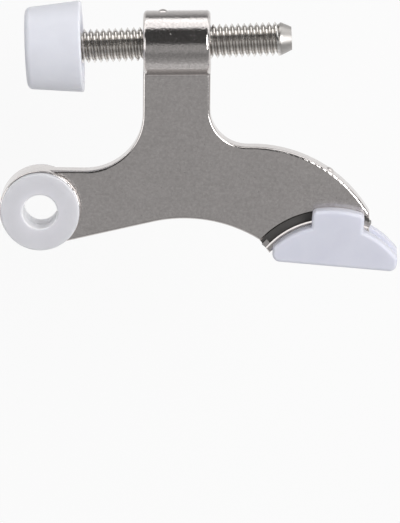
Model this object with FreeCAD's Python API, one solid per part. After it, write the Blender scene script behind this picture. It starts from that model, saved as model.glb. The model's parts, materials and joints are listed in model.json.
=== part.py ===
import FreeCAD
import Part
import math
import os

# Hinge pin door stop, in millimetres. A cast arm hangs on a door's hinge pin. A threaded rod through
# its barrel carries a bumper for the wall, and a shoe on the arm's curved rail bears on the door.
# The origin is the middle of the hinge pin hole, +Z runs along the pin, +X points to the shoe and
# +Y to the rod.

# Eye and its two bushes
pin_hole_radius = 4.0
pin_hole_chamfer = 0.35
bush_sleeve_radius = 5.6
bush_flange_radius = 9.1
bush_flange_thickness = 1.4
bush_flange_round = 0.35
bush_press_gap = 0.02
bush_seam = 0.2
eye_radius = 9.4
eye_height = 7.2
eye_edge_round = 0.5

# Web of the casting
web_thickness = 4.2
web_edge_round = 0.6
arm_top_inset = 0.2
arm_underside_inset = 0.59
stem_centre_x = 31.2
stem_width = 15.5
inner_corner_radius = 13.4
outer_corner_radius = 8.6
crown_top_height = 15.4
crown_radius = 31.2
arch_top_height = -1.85
arch_radius = 32.5
crease_round = 0.5

# Curved rail at the end of the arm: angles run clockwise from +Y about rail_centre
rail_centre_x = 67.2
rail_centre_y = -21.2
rail_lip_radius = 19.8
rail_lip_depth = 1.6
rail_heel_angle = -51.2
rail_mouth_angle = -48.8
rail_mouth_radius = 22.12
rail_end_reach = 8.7
rail_end_height = 5.22
groove_width = 2.0
groove_depth = 1.0
groove_mouth_bevel = 0.3
stop_lug_height = 1.1
stop_lug_angle = 4.4

# Barrel of the casting, and the marks where it was broken from its runners
barrel_height = 39.35
barrel_radius = 7.45
barrel_length = 15.4
barrel_edge_round = 0.9
barrel_lean = 1.2
gate_mark_height = 0.45
gate_mark_half_width = 1.1
barrel_gate_offset = -3.2
crown_gate_angle = 34.8

# Threaded rod, whose thread is drawn as one ring per turn, and the bumper on its end, placed along
# the rod from the middle of the barrel
rod_radius = 3.95
thread_pitch = 1.4111
thread_depth = 0.87
thread_crest_width = 0.18
rod_lean = 3.0
rod_running_gap = 0.05
rod_tip_reach = 26.3
rod_tip_length = 2.2
rod_tip_radius = 2.7
bumper_back_reach = 21.8
bumper_length = 12.9
bumper_back_radius = 10.55
bumper_front_radius = 9.35
bumper_front_round = 1.4
bumper_back_round = 0.4
bumper_rim_width = 2.4
bumper_dish_depth = 1.8
bumper_socket_depth = 9.5
rod_end_gap = 0.3

# Shoe, in the rail's own polar frame and turned with the sole
shoe_turn = -4.3
shoe_thickness = 12.0
shoe_length = 28.8
shoe_sole_radius = 9.4
shoe_cheek_radius = 19.1
shoe_sole_corner = 1.8
shoe_top_corner = 0.8
shoe_edge_round = 0.8
shoe_running_gap = 0.3
clip_width = 12.0
clip_height = 3.6
clip_corner = 1.3
hook_half_angle = 14.0

UP = FreeCAD.Vector(0, 0, 1)
SAME_PLACE = 1e-3
HALF_RING = (-90, 90)
half_web = web_thickness / 2
half_eye = eye_height / 2
groove_outer_radius = rail_lip_radius + groove_width
rail_root_radius = rail_lip_radius - rail_lip_depth
rail_centre = FreeCAD.Vector(rail_centre_x, rail_centre_y, 0)
barrel_middle = FreeCAD.Vector(stem_centre_x, barrel_height, 0)


def polar(centre, radius, angle):
    """Point at a clockwise angle from +Y about a centre."""
    turn = math.radians(angle)
    return centre + FreeCAD.Vector(radius * math.sin(turn), radius * math.cos(turn), 0)


def line(start, end):
    return Part.LineSegment(start, end).toShape()


def arc(centre, start, end):
    """The shorter arc from start to end about a centre."""
    radius = (start - centre).Length
    middle = (start - centre) + (end - centre)
    middle.normalize()
    return Part.Arc(start, centre + middle * radius, end).toShape()


def humped(top_height, radius, end):
    """Centre of an arc that peaks at a height and comes down on its +X side to an end point."""
    centre_y = top_height - radius
    return FreeCAD.Vector(end.x - math.sqrt(radius ** 2 - (end.y - centre_y) ** 2), centre_y, 0)


def cross_tangent(upper_radius, lower_centre, lower_radius):
    """Upward normal of the line that runs under a circle at the origin and over a lower circle."""
    bearing = math.atan2(lower_centre.y, lower_centre.x)
    turn = bearing + math.acos(-(upper_radius + lower_radius) / lower_centre.Length)
    return FreeCAD.Vector(math.cos(turn), math.sin(turn), 0)


def prism(edges, low, high):
    """Solid between two heights over a closed outline."""
    face = Part.Face(Part.Wire(edges))
    face.translate(UP * low)
    return face.extrude(UP * (high - low))


def turned(points):
    """Solid of revolution about X from (x, radius) points."""
    wire = Part.makePolygon([FreeCAD.Vector(x, r, 0) for x, r in points + points[:1]])
    return Part.Face(wire).revolve(FreeCAD.Vector(), FreeCAD.Vector(1, 0, 0), 360)


def swept(profile, first_angle, last_angle):
    """Solid swept about rail_centre from (radius, height) points."""
    points = [polar(rail_centre, radius, first_angle) + UP * height for radius, height in profile]
    return Part.Face(Part.makePolygon(points + points[:1])).revolve(rail_centre, UP, first_angle - last_angle)


def ring_sector(inner, outer, first_angle, last_angle, low, high):
    """Piece of a flat ring about rail_centre."""
    return swept([(inner, low), (outer, low), (outer, high), (inner, high)], first_angle, last_angle)


def edges_where(shape, test):
    return [edge for edge in shape.Edges if test(edge)]


def at_height(edge, height):
    return all(abs(vertex.Z - height) < SAME_PLACE for vertex in edge.Vertexes)


def rims(shape, half_height):
    """Edges around the two flat faces of a prism centred on the middle plane."""
    return edges_where(shape, lambda edge: at_height(edge, half_height) or at_height(edge, -half_height))


def uprights(shape, y):
    """Edges of a prism that run along Z at one Y."""
    return edges_where(shape, lambda edge: edge.tangentAt(edge.FirstParameter).cross(UP).Length < SAME_PLACE
                       and abs(edge.CenterOfMass.y - y) < SAME_PLACE)


def along_rod(shape, lean):
    """Sets a shape built along X about the origin on the rod's line through the barrel."""
    shape.rotate(FreeCAD.Vector(), UP, lean)
    shape.translate(barrel_middle)
    return shape


def crown_centre_and_end():
    rail_top = math.sqrt(rail_root_radius ** 2 - rail_end_reach ** 2)
    crown_end = rail_centre + FreeCAD.Vector(rail_end_reach, rail_top + rail_end_height, 0)
    return humped(crown_top_height, crown_radius, crown_end), crown_end


def web_outline():
    """Outline of the web, clockwise from the eye's top, with the barrel end left square."""
    crown_centre, crown_end = crown_centre_and_end()
    arm_top_height = eye_radius - arm_top_inset
    stem_left = stem_centre_x - stem_width / 2
    stem_right = stem_centre_x + stem_width / 2
    inner_centre = FreeCAD.Vector(stem_left - inner_corner_radius, arm_top_height + inner_corner_radius, 0)
    arm_end = FreeCAD.Vector(inner_centre.x, arm_top_height, 0)
    stem_foot = FreeCAD.Vector(stem_left, inner_centre.y, 0)

    outer_x = stem_right + outer_corner_radius
    both_radii = crown_radius + outer_corner_radius
    outer_y = crown_centre.y + math.sqrt(both_radii ** 2 - (outer_x - crown_centre.x) ** 2)
    outer_centre = FreeCAD.Vector(outer_x, outer_y, 0)
    stem_side = FreeCAD.Vector(stem_right, outer_y, 0)
    crown_start = crown_centre + (outer_centre - crown_centre) * (crown_radius / both_radii)

    rail_end = crown_end - FreeCAD.Vector(0, rail_end_height, 0)
    rail_heel = polar(rail_centre, rail_root_radius, rail_heel_angle)
    arch_end = polar(rail_centre, rail_mouth_radius, rail_mouth_angle)
    arch_centre = humped(arch_top_height, arch_radius, arch_end)
    underside_radius = eye_radius - arm_underside_inset
    underside_up = cross_tangent(underside_radius, arch_centre, arch_radius)
    arch_start = arch_centre + underside_up * arch_radius
    eye_bottom = underside_up * -underside_radius
    eye_top = FreeCAD.Vector(0, arm_top_height, 0)
    stem_top = FreeCAD.Vector(stem_left, barrel_height, 0)
    stem_far = FreeCAD.Vector(stem_right, barrel_height, 0)

    return [
        line(eye_top, arm_end),
        arc(inner_centre, arm_end, stem_foot),
        line(stem_foot, stem_top),
        line(stem_top, stem_far),
        line(stem_far, stem_side),
        arc(outer_centre, stem_side, crown_start),
        arc(crown_centre, crown_start, crown_end),
        line(crown_end, rail_end),
        arc(rail_centre, rail_end, rail_heel),
        line(rail_heel, arch_end),
        arc(arch_centre, arch_end, arch_start),
        line(arch_start, eye_bottom),
        line(eye_bottom, eye_top),
    ]


def gate_mark(surface_point, outward):
    """Low dome left where a runner was broken off."""
    radius = (gate_mark_half_width ** 2 + gate_mark_height ** 2) / (2 * gate_mark_height)
    return Part.makeSphere(radius, surface_point + outward * (gate_mark_height - radius))


def crease_strip():
    """Concave strip on the +Z side between the barrel and the face of the stem."""
    both_radii = barrel_radius + crease_round
    centre_height = half_web + crease_round
    drop = math.sqrt(both_radii ** 2 - centre_height ** 2)
    centre = FreeCAD.Vector(0, -drop, centre_height)
    on_web = FreeCAD.Vector(0, -drop, half_web)
    on_barrel = centre * (barrel_radius / both_radii)
    inside = FreeCAD.Vector(0, -drop, 0)
    length = min(stem_width - 2 * web_edge_round, barrel_length - 2 * barrel_edge_round)
    section = Part.Face(Part.Wire([arc(centre, on_web, on_barrel), line(on_barrel, inside), line(inside, on_web)]))
    section.translate(FreeCAD.Vector(-length / 2, 0, 0))
    return along_rod(section.extrude(FreeCAD.Vector(length, 0, 0)), barrel_lean)


def make_arm_casting():
    web = prism(web_outline(), -half_web, half_web)
    web = web.makeFillet(web_edge_round, rims(web, half_web))

    rail_last_angle = math.degrees(math.asin(rail_end_reach / rail_lip_radius))
    floor = half_web - groove_depth
    bevel = groove_mouth_bevel
    clear = half_web + bevel
    for side in (1, -1):
        groove = [(rail_lip_radius, floor), (rail_lip_radius, half_web - bevel),
                  (rail_lip_radius - 2 * bevel, clear), (groove_outer_radius + 2 * bevel, clear),
                  (groove_outer_radius, half_web - bevel), (groove_outer_radius, floor)]
        web = web.cut(swept([(radius, side * height) for radius, height in groove], *HALF_RING))
    lug_top = rail_lip_radius + stop_lug_height
    lug_half = half_web - web_edge_round
    lip_heel_angle = (rail_heel_angle + rail_mouth_angle) / 2
    for first in (lip_heel_angle, rail_last_angle - stop_lug_angle):
        web = web.fuse(ring_sector(rail_lip_radius - rail_lip_depth / 2, lug_top, first,
                                   first + stop_lug_angle, -lug_half, lug_half))

    eye = Part.makeCylinder(eye_radius, eye_height, UP * -half_eye)
    eye = eye.makeFillet(eye_edge_round, edges_where(eye, lambda edge: len(edge.Vertexes) == 1))
    barrel = Part.makeCylinder(barrel_radius, barrel_length, FreeCAD.Vector(-barrel_length / 2, 0, 0),
                               FreeCAD.Vector(1, 0, 0))
    barrel = barrel.makeFillet(barrel_edge_round, edges_where(barrel, lambda edge: len(edge.Vertexes) == 1))
    barrel = along_rod(barrel, barrel_lean)

    barrel_up = FreeCAD.Vector(-math.sin(math.radians(barrel_lean)), math.cos(math.radians(barrel_lean)), 0)
    barrel_way = FreeCAD.Vector(barrel_up.y, -barrel_up.x, 0)
    barrel_gate = barrel_middle + barrel_way * barrel_gate_offset + barrel_up * barrel_radius
    crown_gate = polar(crown_centre_and_end()[0], crown_radius, crown_gate_angle)
    crown_up = polar(FreeCAD.Vector(), 1, crown_gate_angle)
    crease = crease_strip()
    body = web.multiFuse([eye, barrel, crease, crease.mirror(FreeCAD.Vector(), UP),
                          gate_mark(barrel_gate, barrel_up), gate_mark(crown_gate, crown_up)])

    eye_hole = Part.makeCylinder(bush_sleeve_radius + bush_press_gap, 2 * eye_height, UP * -eye_height)
    rod_hole = Part.makeCylinder(rod_radius + rod_running_gap, 2 * barrel_length,
                                 FreeCAD.Vector(-barrel_length, 0, 0), FreeCAD.Vector(1, 0, 0))
    return body.cut(eye_hole).cut(along_rod(rod_hole, rod_lean)).removeSplitter()


def make_hinge_bush(side):
    """Flanged bush on the +Z side, or its twin turned over to the other side."""
    top = half_eye + bush_flange_thickness
    sleeve = Part.makeCylinder(bush_sleeve_radius, half_eye - bush_seam / 2, UP * (bush_seam / 2))
    flange = Part.makeCylinder(bush_flange_radius, bush_flange_thickness, UP * half_eye)
    flange = flange.makeFillet(bush_flange_round, edges_where(flange, lambda edge: at_height(edge, top)
                                                              and len(edge.Vertexes) == 1))
    hole = Part.makeCylinder(pin_hole_radius, top)
    mouth = Part.makeCone(pin_hole_radius, pin_hole_radius + 2 * pin_hole_chamfer, 2 * pin_hole_chamfer,
                          UP * (top - pin_hole_chamfer))
    bush = sleeve.fuse(flange).cut(hole).cut(mouth).removeSplitter()
    if side < 0:
        bush.rotate(FreeCAD.Vector(), FreeCAD.Vector(1, 0, 0), 180)
    return bush


def make_threaded_rod():
    start = rod_end_gap - bumper_socket_depth - bumper_back_reach
    thread_end = rod_tip_reach - rod_tip_length
    groove_width_at_crest = thread_pitch - thread_crest_width
    grooves = int((thread_end - start - thread_crest_width) / thread_pitch)
    points = [(start, 0), (start, rod_radius)]
    for turns_left in range(grooves, 0, -1):
        edge = thread_end - turns_left * thread_pitch
        points += [(edge, rod_radius), (edge + groove_width_at_crest / 2, rod_radius - thread_depth),
                   (edge + groove_width_at_crest, rod_radius)]
    points += [(thread_end, rod_radius), (rod_tip_reach, rod_tip_radius), (rod_tip_reach, 0)]
    return along_rod(turned(points), rod_lean)


def make_bumper():
    back = -bumper_back_reach
    front = back - bumper_length
    shell = turned([(front, 0), (front, bumper_front_radius), (back, bumper_back_radius), (back, 0)])
    front_rim = edges_where(shell, lambda edge: len(edge.Vertexes) == 1 and edge.CenterOfMass.x < front + SAME_PLACE)
    shell = shell.makeFillet(bumper_front_round, front_rim)
    back_rim = edges_where(shell, lambda edge: len(edge.Vertexes) == 1 and edge.CenterOfMass.x > back - SAME_PLACE)
    shell = shell.makeFillet(bumper_back_round, back_rim)
    dish_radius = bumper_back_radius - bumper_rim_width
    dish = turned([(back - bumper_dish_depth, 0), (back - bumper_dish_depth, dish_radius - bumper_dish_depth / 2),
                   (back, dish_radius), (back, 0)])
    socket_radius = rod_radius + rod_running_gap
    socket = turned([(back - bumper_socket_depth, 0), (back - bumper_socket_depth, socket_radius),
                     (back, socket_radius), (back, 0)])
    return along_rod(shell.cut(dish).cut(socket), rod_lean)


def make_door_shoe():
    half_length = shoe_length / 2
    half_thick = shoe_thickness / 2
    inner_face = half_web + shoe_running_gap
    end_angle = math.degrees(math.asin(half_length / shoe_cheek_radius))
    left_top = polar(rail_centre, shoe_cheek_radius, -end_angle)
    right_top = polar(rail_centre, shoe_cheek_radius, end_angle)
    sole_y = rail_centre.y + shoe_sole_radius
    left_sole = FreeCAD.Vector(left_top.x, sole_y, 0)
    right_sole = FreeCAD.Vector(right_top.x, sole_y, 0)
    block = prism([arc(rail_centre, left_top, right_top), line(right_top, right_sole),
                   line(right_sole, left_sole), line(left_sole, left_top)], -half_thick, half_thick)

    block = block.makeFillet(shoe_sole_corner, uprights(block, sole_y))
    block = block.makeFillet(shoe_top_corner, uprights(block, left_top.y))
    block = block.makeFillet(shoe_edge_round, rims(block, half_thick))

    half_clip = clip_width / 2
    clip_outer = shoe_cheek_radius + clip_height
    clip_foot = sole_y + shoe_sole_corner
    clip_side = rail_centre.y + math.sqrt(clip_outer ** 2 - half_clip ** 2)
    left_foot = FreeCAD.Vector(rail_centre.x - half_clip, clip_foot, 0)
    left_side = FreeCAD.Vector(rail_centre.x - half_clip, clip_side, 0)
    right_side = FreeCAD.Vector(rail_centre.x + half_clip, clip_side, 0)
    right_foot = FreeCAD.Vector(rail_centre.x + half_clip, clip_foot, 0)
    clip = prism([line(left_foot, left_side), arc(rail_centre, left_side, right_side),
                  line(right_side, right_foot), line(right_foot, left_foot)], -half_thick, half_thick)
    clip = clip.makeFillet(clip_corner, uprights(clip, clip_side))
    clip_rims = [edge for edge in rims(clip, half_thick) if edge.CenterOfMass.y > clip_foot + SAME_PLACE]
    shoe = block.fuse(clip.makeFillet(shoe_edge_round, clip_rims))

    slot_floor = rail_root_radius - shoe_running_gap
    shoe = shoe.cut(ring_sector(slot_floor, 2 * shoe_cheek_radius, *HALF_RING, -inner_face, inner_face))
    hook_tip = half_web - groove_depth + shoe_running_gap
    hook_root = (inner_face + half_thick) / 2
    for low, high in ((hook_tip, hook_root), (-hook_root, -hook_tip)):
        shoe = shoe.fuse(ring_sector(rail_lip_radius + shoe_running_gap, groove_outer_radius - shoe_running_gap,
                                     -hook_half_angle, hook_half_angle, low, high))
    shoe.rotate(rail_centre, UP, shoe_turn)
    return shoe.removeSplitter()


def main():
    os.makedirs("parts", exist_ok=True)
    pieces = {
        "arm_casting": make_arm_casting(),
        "hinge_bush_front": make_hinge_bush(1),
        "hinge_bush_rear": make_hinge_bush(-1),
        "threaded_rod": make_threaded_rod(),
        "bumper": make_bumper(),
        "door_shoe": make_door_shoe(),
    }
    for name, shape in pieces.items():
        if not shape.isValid() or len(shape.Solids) != 1:
            raise ValueError(name + " is not one sound solid")
        shape.exportStep("parts/" + name + ".step")


main()
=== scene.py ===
import json
import math

import bmesh
import bpy
from bpy.props import FloatProperty, FloatVectorProperty, IntProperty, PointerProperty
from mathutils import Matrix, Vector


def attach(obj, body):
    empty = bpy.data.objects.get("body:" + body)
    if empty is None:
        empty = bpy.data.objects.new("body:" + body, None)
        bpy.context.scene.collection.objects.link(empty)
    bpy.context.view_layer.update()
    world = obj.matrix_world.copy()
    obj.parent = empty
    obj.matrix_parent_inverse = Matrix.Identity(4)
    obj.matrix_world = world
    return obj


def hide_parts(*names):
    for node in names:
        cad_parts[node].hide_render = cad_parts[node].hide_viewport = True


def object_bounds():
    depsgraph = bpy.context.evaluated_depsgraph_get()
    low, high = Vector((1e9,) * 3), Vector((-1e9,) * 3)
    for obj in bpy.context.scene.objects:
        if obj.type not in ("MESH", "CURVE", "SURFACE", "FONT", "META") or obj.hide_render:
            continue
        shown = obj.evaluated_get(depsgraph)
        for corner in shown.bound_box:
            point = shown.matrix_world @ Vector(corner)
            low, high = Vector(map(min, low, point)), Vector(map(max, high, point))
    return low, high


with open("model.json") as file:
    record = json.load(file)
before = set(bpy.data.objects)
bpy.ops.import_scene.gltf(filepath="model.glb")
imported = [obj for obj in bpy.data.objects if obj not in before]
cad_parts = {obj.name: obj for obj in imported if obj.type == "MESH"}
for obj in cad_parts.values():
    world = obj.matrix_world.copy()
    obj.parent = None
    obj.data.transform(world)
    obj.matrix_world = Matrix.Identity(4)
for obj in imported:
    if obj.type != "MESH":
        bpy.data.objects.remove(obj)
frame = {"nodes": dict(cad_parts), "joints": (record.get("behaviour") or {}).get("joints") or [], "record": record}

bl_info = {
    "name": "Hinge pin door stop",
    "version": (1, 0, 0),
    "blender": (4, 5, 0),
    "location": "3D View > Sidebar > Door stop",
    "description": "Dresses a hinge pin door stop: plated casting, cut thread and moulded parts",
    "category": "Object",
}

MM = 0.001
FULL_TURN = 2 * math.pi
CAD_BOX = [list(corner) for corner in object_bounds()]
ROD_JOINT = next(joint for joint in frame["joints"] if joint["name"] == "rod_turn")
ROD_MIDDLE = Vector(ROD_JOINT["pos_m"])
ROD_WAY = Vector(ROD_JOINT["axis"]).normalized()
SCREW = next(pair for pair in frame["record"]["behaviour"]["couplings"] if pair["joint"] == "rod_turn")
ROD_POINTS = [vertex.co - ROD_MIDDLE for vertex in frame["nodes"]["threaded_rod"].data.vertices]
ROD_REACH = [point.dot(ROD_WAY) for point in ROD_POINTS]
ROD_RADIUS = max(point.cross(ROD_WAY).length for point in ROD_POINTS)


def linear(hex_colour):
    """Linear RGBA from an sRGB hex value."""
    channels = [int(hex_colour[place:place + 2], 16) / 255 for place in (1, 3, 5)]
    return tuple(c / 12.92 if c <= 0.04045 else ((c + 0.055) / 1.055) ** 2.4 for c in channels) + (1.0,)


def per_mm(size):
    """Texture scale at which a pattern in metres repeats about every size millimetres."""
    return 1 / (size * MM)


def usable(sockets, name):
    """The first socket in use with that name or identifier."""
    return next(each for each in sockets if each.enabled and name in (each.name, each.identifier))


def add(tree, kind, settings=(), links=()):
    """Adds a node, sets its options and sockets by name, and links outputs of other nodes into it."""
    made = tree.nodes.new(kind)
    for name, value in dict(settings).items():
        if hasattr(made, name):
            setattr(made, name, value)
        else:
            usable(made.inputs, name).default_value = value
    for name, (source, output) in dict(links).items():
        tree.links.new(usable(source.outputs, output), usable(made.inputs, name))
    return made


def blank_material(name):
    """New material with an empty node tree."""
    material = bpy.data.materials.new(name)
    material.use_nodes = True
    material.node_tree.nodes.clear()
    return material, material.node_tree


def dress(piece, material):
    """Gives every face of a piece one material."""
    if not piece.data.materials:
        piece.data.materials.append(material)
    for slot in piece.material_slots:
        slot.material = material


class DoorStopFinishes(bpy.types.PropertyGroup):
    nickel_colour: FloatVectorProperty(
        name="Nickel", description="Reflection colour of the plated casting", subtype="COLOR", size=4,
        min=0.0, max=1.0, default=linear("#DCD7D5"))
    steel_colour: FloatVectorProperty(
        name="Thread steel", description="Reflection colour of the threaded rod", subtype="COLOR", size=4,
        min=0.0, max=1.0, default=linear("#EEEBE8"))
    nylon_colour: FloatVectorProperty(
        name="Bush nylon", description="Colour of the two hinge bushes", subtype="COLOR", size=4,
        min=0.0, max=1.0, default=linear("#D8D7DD"))
    rubber_colour: FloatVectorProperty(
        name="Bumper rubber", description="Colour of the bumper", subtype="COLOR", size=4,
        min=0.0, max=1.0, default=linear("#E0E1E8"))
    shoe_colour: FloatVectorProperty(
        name="Shoe plastic", description="Colour of the door shoe", subtype="COLOR", size=4,
        min=0.0, max=1.0, default=linear("#D2D3DD"))


class DoorStopThread(bpy.types.PropertyGroup):
    pitch: FloatProperty(
        name="Pitch", description="Distance from one crest to the next", unit="LENGTH",
        min=0.5 * MM, max=3 * MM, default=FULL_TURN / SCREW["ratio"])
    depth: FloatProperty(
        name="Depth", description="How far the roots lie below the crests", unit="LENGTH",
        min=0.1 * MM, max=2 * MM, default=0.9 * MM)
    tip_length: FloatProperty(
        name="Tip length", description="Length of the bevelled end", unit="LENGTH",
        min=0.5 * MM, max=6 * MM, default=2.8 * MM)
    tip_radius: FloatProperty(
        name="Tip radius", description="Radius of the flat at the very end", unit="LENGTH",
        min=0.5 * MM, max=4 * MM, default=2.65 * MM)
    runout: FloatProperty(
        name="Run-out", description="Length over which the last groove fades into the bevel", unit="LENGTH",
        min=0.1 * MM, max=6 * MM, default=1.5 * MM)
    round_steps: IntProperty(
        name="Steps per turn", description="Faces around the rod", min=16, max=128, default=64)


class DoorStopStage(bpy.types.PropertyGroup):
    floor_drop: FloatProperty(
        name="Floor drop", description="Gap from the lowest point of the stop to the floor", unit="LENGTH",
        min=0.0, max=0.5, default=0.09)
    floor_colour: FloatVectorProperty(
        name="Floor", description="Colour of the floor", subtype="COLOR", size=4,
        min=0.0, max=1.0, default=linear("#DADADA"))
    camera_distance: FloatProperty(
        name="Camera distance", description="From the lens to the middle of the stop", unit="LENGTH",
        min=0.2, max=3.0, default=1.6)


# Cross-section of one rolled thread: (share of the pitch, share of the depth below the crest)
THREAD_SECTION = [(-0.06, 0.0), (0.06, 0.0), (0.42, 1.0), (0.58, 1.0)]
# Turns made before the rod's start, and in all beyond its length. The ends are then cut flat
TURNS_BEFORE = 2
TURNS_SPARE = 3
# Share of the bevel's length, from the rod's end, that has no groove
BEVEL_CLEAR = 0.75
# Points nearer than this are one, in metres
MERGE_GAP = 1e-7
CUT_GAP = 1e-8
SHARP_EDGE = math.radians(28)
# Depths below the crest between which the thread's colour goes from crest to root, through the painted shade on
# the flanks
CREST_DEPTH = 0.1 * MM
ROOT_DEPTH = 0.85 * MM
# Distances from the rod's end between which the bevel's duller surface sets in
BEVEL_STARTS = 3.0 * MM
BEVEL_FULL = 2.4 * MM
BEVEL_DULLNESS = 0.22

# Curved grooves of the rail, about the shoe's own joint
SHOE_JOINT = next(joint for joint in frame["joints"] if joint["name"] == "shoe_rock")
RAIL_MIDDLE = SHOE_JOINT["pos_m"]
GROOVE_RADIUS = 20.8 * MM
GROOVE_HALF_WIDTH = 1.02 * MM
GROOVE_TOP = 1.3 * MM
GROOVE_DULLNESS = 0.2
# Flat faces of the web: height from the middle plane, how level a face has to be, and its matt skin
WEB_TOP = 2.2 * MM
LEVEL_FROM = 0.97
WEB_DULLNESS = 0.12
# Shares of the spots under the plate that are pits and grains
PIT_SHARE = 0.15
GRAIN_SHARE = 0.35
# Radius of the wall of the pin hole in the bushes, which gets painted light
BORE_EDGE = 4.2 * MM
# Moulded plastics: share of the light that goes in, and how far the gloss varies
LIGHT_INSIDE = 0.8
GLOSS_SPREAD = 0.05


def smooth_share(value):
    """0 below 0, 1 above 1 and an even S between."""
    share = min(max(value, 0.0), 1.0)
    return share * share * (3 - 2 * share)


def thread_mesh(settings):
    """Right-hand thread along +X about the origin, cut flat at both ends."""
    start = min(ROD_REACH)
    end = max(ROD_REACH)
    steps = settings.round_steps
    bevel_rise = ROD_RADIUS - settings.tip_radius
    turns = math.ceil((end - start) / settings.pitch) + TURNS_SPARE
    form = bmesh.new()
    rows = []
    for number in range(turns):
        for share, below in THREAD_SECTION:
            row = []
            for step in range(steps + 1):
                reach = start + settings.pitch * (number - TURNS_BEFORE + share + step / steps)
                from_end = end - reach
                bevel = settings.tip_radius + bevel_rise * from_end / settings.tip_length
                fade = smooth_share((from_end - settings.tip_length * BEVEL_CLEAR) / settings.runout)
                cut_radius = ROD_RADIUS - settings.depth * below * fade
                radius = max(min(cut_radius, bevel), settings.tip_radius / 2)
                turn = FULL_TURN * step / steps
                row.append(form.verts.new((reach, radius * math.cos(turn), radius * math.sin(turn))))
            rows.append(row)
    for low, high in zip(rows, rows[1:]):
        for step in range(steps):
            form.faces.new((low[step], low[step + 1], high[step + 1], high[step]))
    bmesh.ops.remove_doubles(form, verts=form.verts, dist=MERGE_GAP)
    for place, away in ((start, -1), (end, 1)):
        everything = form.verts[:] + form.edges[:] + form.faces[:]
        cut = bmesh.ops.bisect_plane(form, geom=everything, dist=CUT_GAP, plane_co=(place, 0, 0),
                                     plane_no=(away, 0, 0), clear_outer=True)
        rim = [part for part in cut["geom_cut"] if isinstance(part, bmesh.types.BMEdge)]
        bmesh.ops.edgeloop_fill(form, edges=rim)
    bmesh.ops.recalc_face_normals(form, faces=form.faces)
    mesh = bpy.data.meshes.new("threaded_rod_cut")
    form.to_mesh(mesh)
    form.free()
    mesh.shade_smooth()
    mesh.set_sharp_from_angle(angle=SHARP_EDGE)
    return mesh


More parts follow.
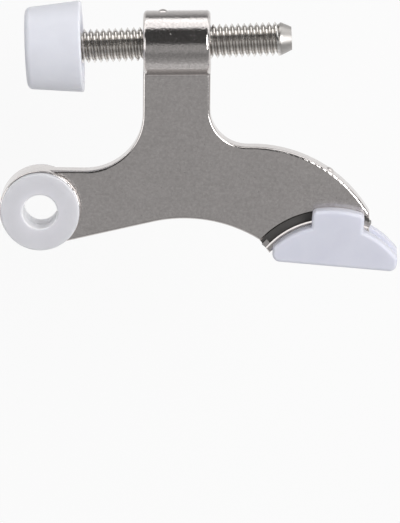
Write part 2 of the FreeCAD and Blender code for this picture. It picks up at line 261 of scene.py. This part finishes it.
def satin_nickel(settings):
    """Satin nickel plate on a tumbled zinc casting. The eye sees a warm grey mirror that a fine orange
    peel softens, with pin-prick pits and faint polishing streaks. The grooves and inner corners have
    painted shade, a darker colour, and are duller metal that the tumbling stones can't reach."""
    material, tree = blank_material("satin_nickel_plate_on_tumbled_zinc_casting")
    place = add(tree, "ShaderNodeTexCoord")

    # Polishing streaks run along the arm: 6 mm long and 0.8 mm wide
    stretch = add(tree, "ShaderNodeMapping", {"Scale": (per_mm(6.0), per_mm(0.8), per_mm(2.0))},
                  {"Vector": (place, "Object")})
    streaks = add(tree, "ShaderNodeTexNoise", {"Scale": 1.0, "Detail": 4.0, "Roughness": 0.6},
                  {"Vector": (stretch, "Vector")})
    streak_share = add(tree, "ShaderNodeMapRange", {"From Min": 0.35, "From Max": 0.7},
                       {"Value": (streaks, "Fac")})
    cloud = add(tree, "ShaderNodeTexNoise", {"Scale": per_mm(7.0), "Detail": 4.0},
                {"Vector": (place, "Object")})

    # Real pits and grains under the plate are about 0.05 mm. They are drawn 0.2 mm wide so that they show
    spots = add(tree, "ShaderNodeTexVoronoi", {"Scale": per_mm(0.9)}, {"Vector": (place, "Object")})
    near = add(tree, "ShaderNodeMapRange", {"From Min": 0.14, "From Max": 0.05},
               {"Value": (spots, "Distance")})
    pick = add(tree, "ShaderNodeSeparateColor", links={"Color": (spots, "Color")})
    pit_here = add(tree, "ShaderNodeMath", {"operation": "GREATER_THAN", "Value_001": 1 - PIT_SHARE},
                   {"Value": (pick, "Red")})
    grain_here = add(tree, "ShaderNodeMath", {"operation": "LESS_THAN", "Value_001": GRAIN_SHARE},
                     {"Value": (pick, "Red")})
    pits = add(tree, "ShaderNodeMath", {"operation": "MULTIPLY"},
               {"Value": (near, "Result"), "Value_001": (pit_here, "Value")})
    grains = add(tree, "ShaderNodeMath", {"operation": "MULTIPLY"},
                 {"Value": (near, "Result"), "Value_001": (grain_here, "Value")})

    # Painted shade: inner corners, found by ambient occlusion, and the two curved grooves that the shoe's hooks
    # run in are coloured darker and made duller
    hollow = add(tree, "ShaderNodeAmbientOcclusion",
                 {"samples": 8, "only_local": True, "Distance": 1.2 * MM})
    corner = add(tree, "ShaderNodeMapRange", {"From Min": 0.7, "From Max": 0.4, "To Max": 0.12},
                 {"Value": (hollow, "AO")})
    from_rail = add(tree, "ShaderNodeVectorMath", {"operation": "SUBTRACT", "Vector_001": RAIL_MIDDLE},
                    {"Vector": (place, "Object")})
    flat = add(tree, "ShaderNodeVectorMath", {"operation": "MULTIPLY", "Vector_001": (1.0, 1.0, 0.0)},
               {"Vector": (from_rail, "Vector")})
    radius = add(tree, "ShaderNodeVectorMath", {"operation": "LENGTH"}, {"Vector": (flat, "Vector")})
    in_ring = add(tree, "ShaderNodeMath",
                  {"operation": "COMPARE", "Value_001": GROOVE_RADIUS, "Value_002": GROOVE_HALF_WIDTH},
                  {"Value": (radius, "Value")})
    spot = add(tree, "ShaderNodeSeparateXYZ", links={"Vector": (place, "Object")})
    off_middle = add(tree, "ShaderNodeMath", {"operation": "ABSOLUTE"}, {"Value": (spot, "Z")})
    sunk = add(tree, "ShaderNodeMath", {"operation": "LESS_THAN", "Value_001": GROOVE_TOP},
               {"Value": (off_middle, "Value")})
    groove = add(tree, "ShaderNodeMath", {"operation": "MULTIPLY"},
                 {"Value": (in_ring, "Value"), "Value_001": (sunk, "Value")})
    shade_and_dullness = add(tree, "ShaderNodeMath", {"operation": "MAXIMUM"},
                 {"Value": (corner, "Result"), "Value_001": (groove, "Value")})

    # The flat faces keep a matt skin. The fine mottle, about 0.15 mm on a real plate, is drawn 0.6 mm wide
    bearing = add(tree, "ShaderNodeNewGeometry")
    facing = add(tree, "ShaderNodeSeparateXYZ", links={"Vector": (bearing, "True Normal")})
    upright = add(tree, "ShaderNodeMath", {"operation": "ABSOLUTE"}, {"Value": (facing, "Z")})
    level = add(tree, "ShaderNodeMath", {"operation": "GREATER_THAN", "Value_001": LEVEL_FROM},
                {"Value": (upright, "Value")})
    on_web = add(tree, "ShaderNodeMath", {"operation": "LESS_THAN", "Value_001": WEB_TOP},
                 {"Value": (off_middle, "Value")})
    matt = add(tree, "ShaderNodeMath", {"operation": "MULTIPLY"},
               {"Value": (level, "Value"), "Value_001": (on_web, "Value")})
    mottle = add(tree, "ShaderNodeTexNoise", {"Scale": per_mm(0.6), "Detail": 3.0, "Roughness": 0.7},
                 {"Vector": (place, "Object")})
    mottle_share = add(tree, "ShaderNodeMapRange", {"From Min": 0.3, "From Max": 0.7},
                       {"Value": (mottle, "Fac")})

    mottled = add(tree, "ShaderNodeMix",
                  {"data_type": "RGBA", "A": settings.nickel_colour, "B": linear("#C6C1BF")},
                  {"Factor": (mottle_share, "Result")})
    streaked = add(tree, "ShaderNodeMix",
                   {"data_type": "RGBA", "blend_type": "MULTIPLY", "B": linear("#FAFAFA")},
                   {"Factor": (streak_share, "Result"), "A": (mottled, "Result")})
    pitted = add(tree, "ShaderNodeMix", {"data_type": "RGBA", "B": linear("#837F7B")},
                 {"Factor": (pits, "Value"), "A": (streaked, "Result")})
    # Painted shade: the grooves and inner corners are mixed to a darker colour
    colour = add(tree, "ShaderNodeMix", {"data_type": "RGBA", "B": linear("#646260")},
                 {"Factor": (shade_and_dullness, "Value"), "A": (pitted, "Result")})

    polish = add(tree, "ShaderNodeMapRange",
                 {"From Min": 0.3, "From Max": 0.7, "To Min": 0.09, "To Max": 0.14},
                 {"Value": (cloud, "Fac")})
    skin = add(tree, "ShaderNodeMath", {"operation": "MULTIPLY_ADD", "Value_001": WEB_DULLNESS},
               {"Value": (matt, "Value"), "Value_002": (polish, "Result")})
    dull = add(tree, "ShaderNodeMath", {"operation": "MULTIPLY", "Value_001": GROOVE_DULLNESS},
               {"Value": (shade_and_dullness, "Value")})
    gloss = add(tree, "ShaderNodeMath", {"operation": "ADD"},
                {"Value": (skin, "Value"), "Value_001": (dull, "Value")})

    # Orange peel is strong on the barrel and the eye, and almost polished away on the web and its edges
    peel = add(tree, "ShaderNodeTexNoise", {"Scale": per_mm(0.5), "Detail": 3.0, "Roughness": 0.65},
               {"Vector": (place, "Object")})
    peel_share = add(tree, "ShaderNodeMapRange", {"To Min": 1.0, "To Max": 0.1},
                     {"Value": (on_web, "Value")})
    peel_bump = add(tree, "ShaderNodeBump", {"Distance": 0.04 * MM},
                    {"Height": (peel, "Fac"), "Strength": (peel_share, "Result")})
    rise = add(tree, "ShaderNodeMath", {"operation": "SUBTRACT"},
               {"Value": (grains, "Value"), "Value_001": (pits, "Value")})
    spot_share = add(tree, "ShaderNodeMapRange", {"To Min": 1.0, "To Max": 0.3},
                     {"Value": (on_web, "Value")})
    spot_bump = add(tree, "ShaderNodeBump", {"Distance": 0.02 * MM},
                    {"Height": (rise, "Value"), "Strength": (spot_share, "Result"),
                     "Normal": (peel_bump, "Normal")})
    shader = add(tree, "ShaderNodeBsdfPrincipled", {"Metallic": 1.0},
                 {"Base Color": (colour, "Result"), "Roughness": (gloss, "Value"),
                  "Normal": (spot_bump, "Normal")})
    add(tree, "ShaderNodeOutputMaterial", links={"Surface": (shader, "BSDF")})
    return material


def bright_steel(settings):
    """Bright zinc plate on steel with a rolled thread. The eye sees thin mirror lines on the crests and in
    the roots, painted shade that colours the flanks between them darker, and a duller, greyer bevel at the free
    end."""
    material, tree = blank_material("bright_zinc_plate_on_rolled_steel_thread")
    place = add(tree, "ShaderNodeTexCoord")
    across = add(tree, "ShaderNodeVectorMath", {"operation": "MULTIPLY", "Vector_001": (0.0, 1.0, 1.0)},
                 {"Vector": (place, "Object")})
    radius = add(tree, "ShaderNodeVectorMath", {"operation": "LENGTH"}, {"Vector": (across, "Vector")})
    root = add(tree, "ShaderNodeMapRange",
               {"From Min": ROD_RADIUS - CREST_DEPTH, "From Max": ROD_RADIUS - ROOT_DEPTH},
               {"Value": (radius, "Value")})
    skin = add(tree, "ShaderNodeTexNoise", {"Scale": per_mm(1.2), "Detail": 4.0, "Roughness": 0.6},
               {"Vector": (place, "Object")})
    rubbed = add(tree, "ShaderNodeMapRange", {"From Min": 0.35, "From Max": 0.75},
                 {"Value": (skin, "Fac")})
    plated = add(tree, "ShaderNodeMix",
                 {"data_type": "RGBA", "A": settings.steel_colour, "B": linear("#DEDBD7")},
                 {"Factor": (rubbed, "Result")})
    # Painted shade: the flanks between the crests and the roots are coloured darker, and the crests and the roots
    # stay bright
    from_edge = add(tree, "ShaderNodeMath", {"operation": "PINGPONG", "Value_001": 0.5},
                    {"Value": (root, "Result")})
    flank_shade = add(tree, "ShaderNodeMapRange", {"From Min": 0.1, "From Max": 0.4},
                {"Value": (from_edge, "Value")})
    rolled = add(tree, "ShaderNodeMix", {"data_type": "RGBA", "B": linear("#B0ACA8")},
                 {"Factor": (flank_shade, "Result"), "A": (plated, "Result")})
    # The bevelled end is sheared and tumbled: darker and duller than the rolled thread
    along = add(tree, "ShaderNodeSeparateXYZ", links={"Vector": (place, "Object")})
    tip = add(tree, "ShaderNodeMapRange",
              {"From Min": max(ROD_REACH) - BEVEL_STARTS, "From Max": max(ROD_REACH) - BEVEL_FULL},
              {"Value": (along, "X")})
    colour = add(tree, "ShaderNodeMix", {"data_type": "RGBA", "B": linear("#B4B1AE")},
                 {"Factor": (tip, "Result"), "A": (rolled, "Result")})
    worn = add(tree, "ShaderNodeMapRange", {"To Min": 0.16, "To Max": 0.24}, {"Value": (root, "Result")})
    gloss = add(tree, "ShaderNodeMath", {"operation": "MULTIPLY_ADD", "Value_001": BEVEL_DULLNESS},
                {"Value": (tip, "Result"), "Value_002": (worn, "Result")})
    skin_bump = add(tree, "ShaderNodeBump", {"Strength": 1.0, "Distance": 0.01 * MM},
                    {"Height": (skin, "Fac")})
    shader = add(tree, "ShaderNodeBsdfPrincipled", {"Metallic": 1.0},
                 {"Base Color": (colour, "Result"), "Roughness": (gloss, "Value"),
                  "Normal": (skin_bump, "Normal")})
    add(tree, "ShaderNodeOutputMaterial", links={"Surface": (shader, "BSDF")})
    return material


def moulded_plastic(name, colour, cloudy_colour, roughness, depth, skin_size):
    """Moulded white plastic or rubber. The eye sees a soft sheen, light that goes a little way in and
    shows at thin edges, faint cloudy flow in the colour and the fine skin of the mould."""
    material, tree = blank_material(name)
    place = add(tree, "ShaderNodeTexCoord")
    cloud = add(tree, "ShaderNodeTexNoise", {"Scale": per_mm(5.0), "Detail": 3.0, "Distortion": 0.6},
                {"Vector": (place, "Object")})
    cloud_share = add(tree, "ShaderNodeMapRange", {"From Min": 0.35, "From Max": 0.7},
                      {"Value": (cloud, "Fac")})
    flow = add(tree, "ShaderNodeMix", {"data_type": "RGBA", "A": colour, "B": cloudy_colour},
               {"Factor": (cloud_share, "Result")})
    skin = add(tree, "ShaderNodeTexNoise", {"Scale": per_mm(skin_size), "Detail": 3.0, "Roughness": 0.6},
               {"Vector": (place, "Object")})
    skin_bump = add(tree, "ShaderNodeBump", {"Strength": 1.0, "Distance": 0.012 * MM},
                    {"Height": (skin, "Fac")})
    gloss = add(tree, "ShaderNodeMapRange",
                {"From Min": 0.3, "From Max": 0.7, "To Min": roughness - GLOSS_SPREAD,
                 "To Max": roughness + GLOSS_SPREAD}, {"Value": (skin, "Fac")})
    shader = add(tree, "ShaderNodeBsdfPrincipled",
                 {"Subsurface Weight": LIGHT_INSIDE, "Subsurface Radius": (1.0, 0.95, 0.95),
                  "Subsurface Scale": depth},
                 {"Base Color": (flow, "Result"), "Roughness": (gloss, "Result"),
                  "Normal": (skin_bump, "Normal")})
    add(tree, "ShaderNodeOutputMaterial", links={"Surface": (shader, "BSDF")})
    return material


# What the metal mirrors, as (degrees from straight up towards +Y, brightness): a grey ceiling, a dark
# flag in front of it, a white panel behind the stop and a pale wall on the near side
ROOM = [
    (-180, 0.49), (-110, 0.47), (-92, 0.50), (-80, 0.68), (-74, 0.68), (-64, 0.45), (-50, 0.36),
    (-40, 0.28), (-26, 0.27), (-22, 0.38), (3, 0.405), (8, 0.063), (63, 0.063), (67, 0.53), (180, 0.53),
]
# Soft boxes: name, place, size and radiance
SOFT_BOXES = [
    ("box_shoe_side", (0.56, 0.24, 0.76), (0.7, 0.45), 6.35),
    ("box_bumper_side", (-0.80, 0.05, 0.50), (0.6, 0.5), 1.4),
    ("box_behind", (0.03, 0.40, 0.03), (1.6, 0.26), 0.74),
]
LOW_BOX = "box_behind"
# Watts of an area lamp for each square metre and unit of radiance
WATTS_PER_RADIANCE = 4
FLOOR_SIZE = 12.0
FLOOR_WHITE = 0.9
# Graduated card on the floor behind the stop, which draws the dark line along the top of the barrel
CARD_LOW = (-0.06, 0.07)
CARD_HIGH = (0.13, 0.33)
CARD_DARK_FROM = 0.24
CARD_LIFT = 0.001
# Camera fitted to the photograph: a point of the stop, its place in the picture, the scale and the angles
STOP_MIDDLE = Vector((36.5, 17.5, 0.0)) * MM
STOP_PIXEL = (199.4, 135.5)
FRAME_MIDDLE = (200.0, 261.5)
PIXELS_PER_MM = 4.341
VIEW_TILT = math.radians(13.25)
VIEW_SIDE = math.radians(0.82)
VIEW_ROLL = math.radians(-0.57)
SENSOR = 36.0
LONG_SIDE = 523
NEAR_CLIP = 0.05


def soft_box(name, place, size, radiance):
    """Rectangular lamp that faces the stop."""
    lamp = bpy.data.lights.new(name, "AREA")
    lamp.shape = "RECTANGLE"
    lamp.size, lamp.size_y = size
    lamp.energy = radiance * WATTS_PER_RADIANCE * size[0] * size[1]
    box = bpy.data.objects.new(name, lamp)
    box.location = place
    box.rotation_euler = (STOP_MIDDLE - Vector(place)).to_track_quat("-Z", "Y").to_euler()
    box.visible_camera = False
    bpy.context.scene.collection.objects.link(box)
    return box


def keep_off(lamp, sheet):
    """Keeps a low lamp from drawing a hard edge of light across the floor."""
    left_out = bpy.data.collections.new(lamp.name + "_floor")
    left_out.objects.link(sheet)
    left_out.collection_objects[0].light_linking.link_state = "EXCLUDE"
    lamp.light_linking.receiver_collection = left_out


def studio_room():
    """World that the metal mirrors: bands that run along X."""
    world = bpy.data.worlds.new("studio_room")
    world.use_nodes = True
    tree = world.node_tree
    tree.nodes.clear()
    way = add(tree, "ShaderNodeTexCoord")
    parts = add(tree, "ShaderNodeSeparateXYZ", links={"Vector": (way, "Generated")})
    turn = add(tree, "ShaderNodeMath", {"operation": "ARCTAN2"},
               {"Value": (parts, "Y"), "Value_001": (parts, "Z")})
    share = add(tree, "ShaderNodeMapRange", {"From Min": -math.pi, "From Max": math.pi},
                {"Value": (turn, "Value")})
    ramp = add(tree, "ShaderNodeValToRGB", links={"Fac": (share, "Result")})
    stops = ramp.color_ramp.elements
    while len(stops) < len(ROOM):
        stops.new(1.0)
    for stop, (degrees, brightness) in zip(stops, ROOM):
        stop.position = (degrees + 180) / 360
        stop.color = (brightness, brightness, brightness, 1.0)
    sky = add(tree, "ShaderNodeBackground", {"Strength": 1.0}, {"Color": (ramp, "Color")})
    add(tree, "ShaderNodeOutputWorld", links={"Surface": (sky, "Background")})
    return world


def floor_paper(settings):
    """Matt white paper sweep. The eye sees white, and a small share of plain paper keeps the shadow."""
    material, tree = blank_material("matt_white_paper_sweep")
    path = add(tree, "ShaderNodeLightPath")
    seen = add(tree, "ShaderNodeMath", {"operation": "MAXIMUM"},
               {"Value": (path, "Is Camera Ray"), "Value_001": (path, "Is Glossy Ray")})
    shown = add(tree, "ShaderNodeMath", {"operation": "MAXIMUM"},
                {"Value": (seen, "Value"), "Value_001": (path, "Is Transmission Ray")})
    share = add(tree, "ShaderNodeMath", {"operation": "MULTIPLY", "Value_001": FLOOR_WHITE},
                {"Value": (shown, "Value")})
    paper = add(tree, "ShaderNodeBsdfDiffuse", {"Color": settings.floor_colour})
    white = add(tree, "ShaderNodeEmission", {"Strength": 1.0})
    mix = add(tree, "ShaderNodeMixShader", links={"Fac": (share, "Value"), "Shader": (paper, "BSDF"),
                                                  "Shader_001": (white, "Emission")})
    add(tree, "ShaderNodeOutputMaterial", links={"Surface": (mix, "Shader")})
    return material


def flat_sheet(name, low, high, height, material):
    """Level rectangle on the stage between two corners."""
    mesh = bpy.data.meshes.new(name)
    mesh.from_pydata([(low[0], low[1], height), (high[0], low[1], height), (high[0], high[1], height),
                      (low[0], high[1], height)], [], [(0, 1, 2, 3)])
    sheet = bpy.data.objects.new(name, mesh)
    bpy.context.scene.collection.objects.link(sheet)
    dress(sheet, material)
    return sheet


def graduated_card():
    """Matt printed card. The eye sees it in the metal only: white near the stop, dark grey further off,
    with the faint tooth of board."""
    material, tree = blank_material("matt_graduated_card_printed")
    place = add(tree, "ShaderNodeTexCoord")
    tooth = add(tree, "ShaderNodeTexNoise", {"Scale": per_mm(2.0), "Detail": 3.0},
                {"Vector": (place, "Object")})
    board = add(tree, "ShaderNodeMix",
                {"data_type": "RGBA", "A": linear("#686868"), "B": linear("#707070")},
                {"Factor": (tooth, "Fac")})
    spot = add(tree, "ShaderNodeSeparateXYZ", links={"Vector": (place, "Object")})
    away = add(tree, "ShaderNodeMapRange", {"From Min": CARD_LOW[1], "From Max": CARD_DARK_FROM},
               {"Value": (spot, "Y")})
    print_tone = add(tree, "ShaderNodeMix", {"data_type": "RGBA", "A": linear("#E7E7E7")},
                     {"Factor": (away, "Result"), "B": (board, "Result")})
    card = add(tree, "ShaderNodeBsdfDiffuse", links={"Color": (print_tone, "Result")})
    add(tree, "ShaderNodeOutputMaterial", links={"Surface": (card, "BSDF")})
    return material


def paint_bore_light(material, radius, colour):
    """Paints light into the wall of the pin hole: inside the given radius it gets a lighter colour than the faces.
    """
    tree = material.node_tree
    shader = next(each for each in tree.nodes if each.type == "BSDF_PRINCIPLED")
    skin = shader.inputs["Base Color"].links[0].from_node
    place = add(tree, "ShaderNodeTexCoord")
    flat = add(tree, "ShaderNodeVectorMath", {"operation": "MULTIPLY", "Vector_001": (1.0, 1.0, 0.0)},
               {"Vector": (place, "Object")})
    reach = add(tree, "ShaderNodeVectorMath", {"operation": "LENGTH"}, {"Vector": (flat, "Vector")})
    inside = add(tree, "ShaderNodeMath", {"operation": "LESS_THAN", "Value_001": radius},
                 {"Value": (reach, "Value")})
    bore_light_paint = add(tree, "ShaderNodeMix", {"data_type": "RGBA", "B": colour},
                {"Factor": (inside, "Value"), "A": (skin, "Result")})
    tree.links.new(usable(bore_light_paint.outputs, "Result"), shader.inputs["Base Color"])


class DOORSTOP_OT_casting(bpy.types.Operator):
    """Plates the cast arm with its eye, stem, barrel and rail"""
    bl_idname = "doorstop.casting"
    bl_label = "Plate the casting"

    def execute(self, context):
        dress(frame["nodes"]["arm_casting"], satin_nickel(context.scene.doorstop_finishes))
        return {"FINISHED"}


class DOORSTOP_OT_thread(bpy.types.Operator):
    """Cuts the thread on the rod"""
    bl_idname = "doorstop.thread"
    bl_label = "Thread the rod"

    def execute(self, context):
        rod = bpy.data.objects.new("threaded_rod_cut", thread_mesh(context.scene.doorstop_thread))
        context.scene.collection.objects.link(rod)
        turn = ROD_WAY.to_track_quat("X", "Z").to_matrix().to_4x4()
        rod.matrix_world = Matrix.Translation(ROD_MIDDLE) @ turn
        dress(rod, bright_steel(context.scene.doorstop_finishes))
        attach(rod, "rod")
        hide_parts("threaded_rod")
        return {"FINISHED"}


class DOORSTOP_OT_bushes(bpy.types.Operator):
    """Finishes the two flanged bushes in the eye"""
    bl_idname = "doorstop.bushes"
    bl_label = "Finish the bushes"

    def execute(self, context):
        settings = context.scene.doorstop_finishes
        nylon = moulded_plastic("natural_nylon_injection_moulded", settings.nylon_colour,
                                linear("#D5D4DA"), roughness=0.42, depth=4.0 * MM, skin_size=0.6)
        # Painted light: the wall of the pin hole gets a lighter colour
        paint_bore_light(nylon, BORE_EDGE, linear("#F2F1F5"))
        for name in ("hinge_bush_front", "hinge_bush_rear"):
            dress(frame["nodes"][name], nylon)
        return {"FINISHED"}


class DOORSTOP_OT_bumper(bpy.types.Operator):
    """Finishes the wall bumper"""
    bl_idname = "doorstop.bumper"
    bl_label = "Finish the bumper"

    def execute(self, context):
        settings = context.scene.doorstop_finishes
        rubber = moulded_plastic("white_rubber_compression_moulded", settings.rubber_colour,
                                 linear("#DDDEE5"), roughness=0.5, depth=1.0 * MM, skin_size=0.9)
        dress(frame["nodes"]["bumper"], rubber)
        return {"FINISHED"}


class DOORSTOP_OT_shoe(bpy.types.Operator):
    """Finishes the door shoe on the rail"""
    bl_idname = "doorstop.shoe"
    bl_label = "Finish the shoe"

    def execute(self, context):
        settings = context.scene.doorstop_finishes
        plastic = moulded_plastic("soft_polyethylene_injection_moulded", settings.shoe_colour,
                                  linear("#CECFDA"), roughness=0.45, depth=2.0 * MM, skin_size=0.7)
        dress(frame["nodes"]["door_shoe"], plastic)
        return {"FINISHED"}


class DOORSTOP_OT_stage(bpy.types.Operator):
    """Sets the floor, the lamps, the room and the camera"""
    bl_idname = "doorstop.stage"
    bl_label = "Set the stage"

    def execute(self, context):
        scene = context.scene
        settings = scene.doorstop_stage
        scene.view_settings.view_transform = "Standard"
        scene.world = studio_room()
        half = FLOOR_SIZE / 2
        height = CAD_BOX[0][2] - settings.floor_drop
        paper = flat_sheet("paper_sweep", (-half, -half), (half, half), height, floor_paper(settings))
        for box in SOFT_BOXES:
            lamp = soft_box(*box)
            if lamp.name == LOW_BOX:
                keep_off(lamp, paper)
        card = flat_sheet("card_behind", CARD_LOW, CARD_HIGH, height + CARD_LIFT, graduated_card())
        for ray in ("visible_camera", "visible_diffuse", "visible_shadow"):
            setattr(card, ray, False)

        lens = bpy.data.cameras.new("camera")
        lens.sensor_width = SENSOR
        lens.lens = PIXELS_PER_MM / MM * settings.camera_distance * SENSOR / LONG_SIDE
        camera = bpy.data.objects.new("camera", lens)
        right = Vector((math.cos(VIEW_SIDE), 0, -math.sin(VIEW_SIDE)))
        back = Matrix.Rotation(-VIEW_TILT, 3, right) @ right.cross(Vector((0, 1, 0)))
        right = Matrix.Rotation(-VIEW_ROLL, 3, back) @ right
        place = STOP_MIDDLE + back * settings.camera_distance
        offset = [(middle - stop) / PIXELS_PER_MM * MM for middle, stop in zip(FRAME_MIDDLE, STOP_PIXEL)]
        aim = STOP_MIDDLE + right * offset[0] - back.cross(right) * offset[1]
        back = (place - aim).normalized()
        up = back.cross(right).normalized()
        turn = Matrix((up.cross(back), up, back)).transposed().to_4x4()
        camera.matrix_world = Matrix.Translation(place) @ turn
        lens.clip_start = settings.camera_distance * NEAR_CLIP
        lens.clip_end = 2 * FLOOR_SIZE
        scene.collection.objects.link(camera)
        scene.camera = camera
        return {"FINISHED"}


class DOORSTOP_PT_panel(bpy.types.Panel):
    bl_label = "Hinge pin door stop"
    bl_idname = "DOORSTOP_PT_panel"
    bl_space_type = "VIEW_3D"
    bl_region_type = "UI"
    bl_category = "Door stop"

    def draw(self, context):
        for group in SETTINGS:
            column = self.layout.column()
            for name in SETTINGS[group].__annotations__:
                column.prop(getattr(context.scene, group), name)
        for operator in OPERATORS:
            self.layout.operator(operator.bl_idname)


SETTINGS = {
    "doorstop_finishes": DoorStopFinishes,
    "doorstop_thread": DoorStopThread,
    "doorstop_stage": DoorStopStage,
}
OPERATORS = (
    DOORSTOP_OT_casting, DOORSTOP_OT_thread, DOORSTOP_OT_bushes, DOORSTOP_OT_bumper, DOORSTOP_OT_shoe,
    DOORSTOP_OT_stage,
)


def register():
    for each in (*SETTINGS.values(), *OPERATORS, DOORSTOP_PT_panel):
        bpy.utils.register_class(each)
    for name, group in SETTINGS.items():
        setattr(bpy.types.Scene, name, PointerProperty(type=group))


def unregister():
    for name in SETTINGS:
        delattr(bpy.types.Scene, name)
    for each in reversed((*SETTINGS.values(), *OPERATORS, DOORSTOP_PT_panel)):
        bpy.utils.unregister_class(each)


def main():
    register()
    bpy.ops.doorstop.casting()
    bpy.ops.doorstop.thread()
    bpy.ops.doorstop.bushes()
    bpy.ops.doorstop.bumper()
    bpy.ops.doorstop.shoe()
    bpy.ops.doorstop.stage()


if __name__ == "__main__":
    main()
